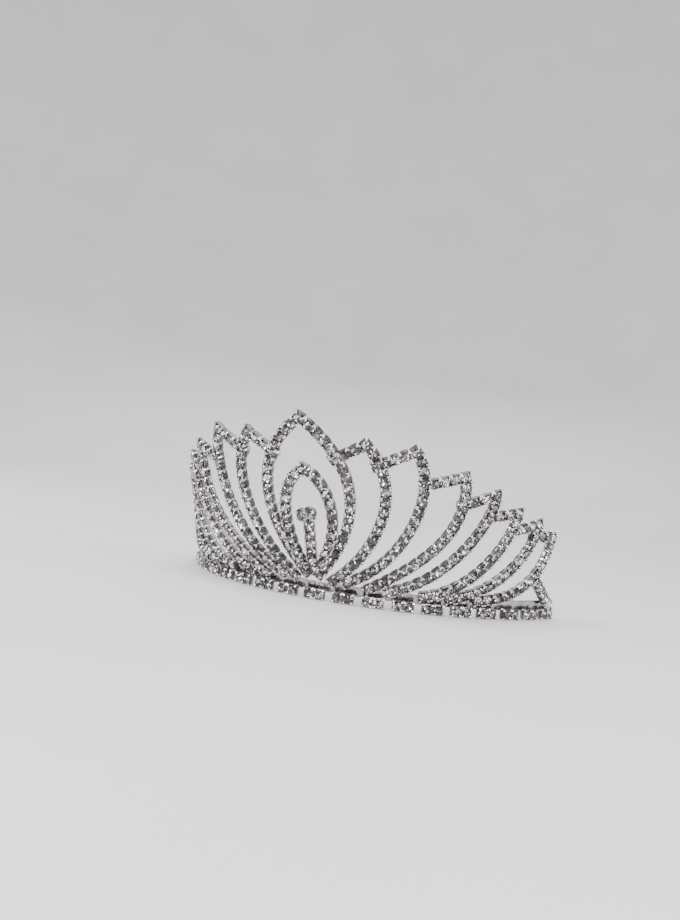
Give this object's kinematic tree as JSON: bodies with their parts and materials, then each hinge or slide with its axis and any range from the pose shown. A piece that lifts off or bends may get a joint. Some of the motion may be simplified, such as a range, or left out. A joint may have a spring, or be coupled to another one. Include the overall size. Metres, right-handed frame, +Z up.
{
  "type": "tiara",
  "caption": "Open rhinestone tiara: a slim silver headband with paired stones, a pointed double arch at the front and curved rays of stones that step down to both ends.",
  "frame": {"origin": "middle of the tiara's outer box, at the level of the faces it rests on", "axes": "+Z up, -Y the front with the tall arch, +Y the open back, +X the right-hand end seen from the front"},
  "size_m": [0.143, 0.0896, 0.0613],
  "materials": {
    "silver_metal": "polished silver-plated strip and wire",
    "stone_chain": "silver-plated stone cups, each holding one clear foil-backed glass stone",
    "crystal": "clear cut-glass stones, foil-backed"
  },
  "bodies": {
    "root": {"headband": "silver_metal", "lower_pair_left_9": "stone_chain", "lower_pair_left_8": "stone_chain", "lower_pair_left_7": "stone_chain", "lower_pair_left_6": "stone_chain", "lower_pair_left_5": "stone_chain", "lower_pair_left_4": "stone_chain", "lower_pair_left_3": "stone_chain", "lower_pair_left_2": "stone_chain", "lower_pair_left_1": "stone_chain", "lower_pair_centre": "stone_chain", "lower_pair_right_1": "stone_chain", "lower_pair_right_2": "stone_chain", "lower_pair_right_3": "stone_chain", "lower_pair_right_4": "stone_chain", "lower_pair_right_5": "stone_chain", "lower_pair_right_6": "stone_chain", "lower_pair_right_7": "stone_chain", "lower_pair_right_8": "stone_chain", "lower_pair_right_9": "stone_chain", "centre_stem": "stone_chain", "centre_cluster": "stone_chain", "outer_arch_left": "stone_chain", "inner_arch_left": "stone_chain", "link_left_1": "stone_chain", "ray_left_1": "stone_chain", "link_left_2": "stone_chain", "ray_left_2": "stone_chain", "link_left_3": "stone_chain", "ray_left_3": "stone_chain", "link_left_4": "stone_chain", "ray_left_4": "stone_chain", "link_left_5": "stone_chain", "ray_left_5": "stone_chain", "link_left_6": "stone_chain", "ray_left_6": "stone_chain", "link_left_7": "stone_chain", "ray_left_7": "stone_chain", "end_brace_left": "stone_chain", "end_eye_left": "silver_metal", "outer_arch_right": "stone_chain", "inner_arch_right": "stone_chain", "link_right_1": "stone_chain", "ray_right_1": "stone_chain", "link_right_2": "stone_chain", "ray_right_2": "stone_chain", "link_right_3": "stone_chain", "ray_right_3": "stone_chain", "link_right_4": "stone_chain", "ray_right_4": "stone_chain", "link_right_5": "stone_chain", "ray_right_5": "stone_chain", "link_right_6": "stone_chain", "ray_right_6": "stone_chain", "link_right_7": "stone_chain", "ray_right_7": "stone_chain", "end_brace_right": "stone_chain", "end_eye_right": "silver_metal"}
  },
  "joints": []
}
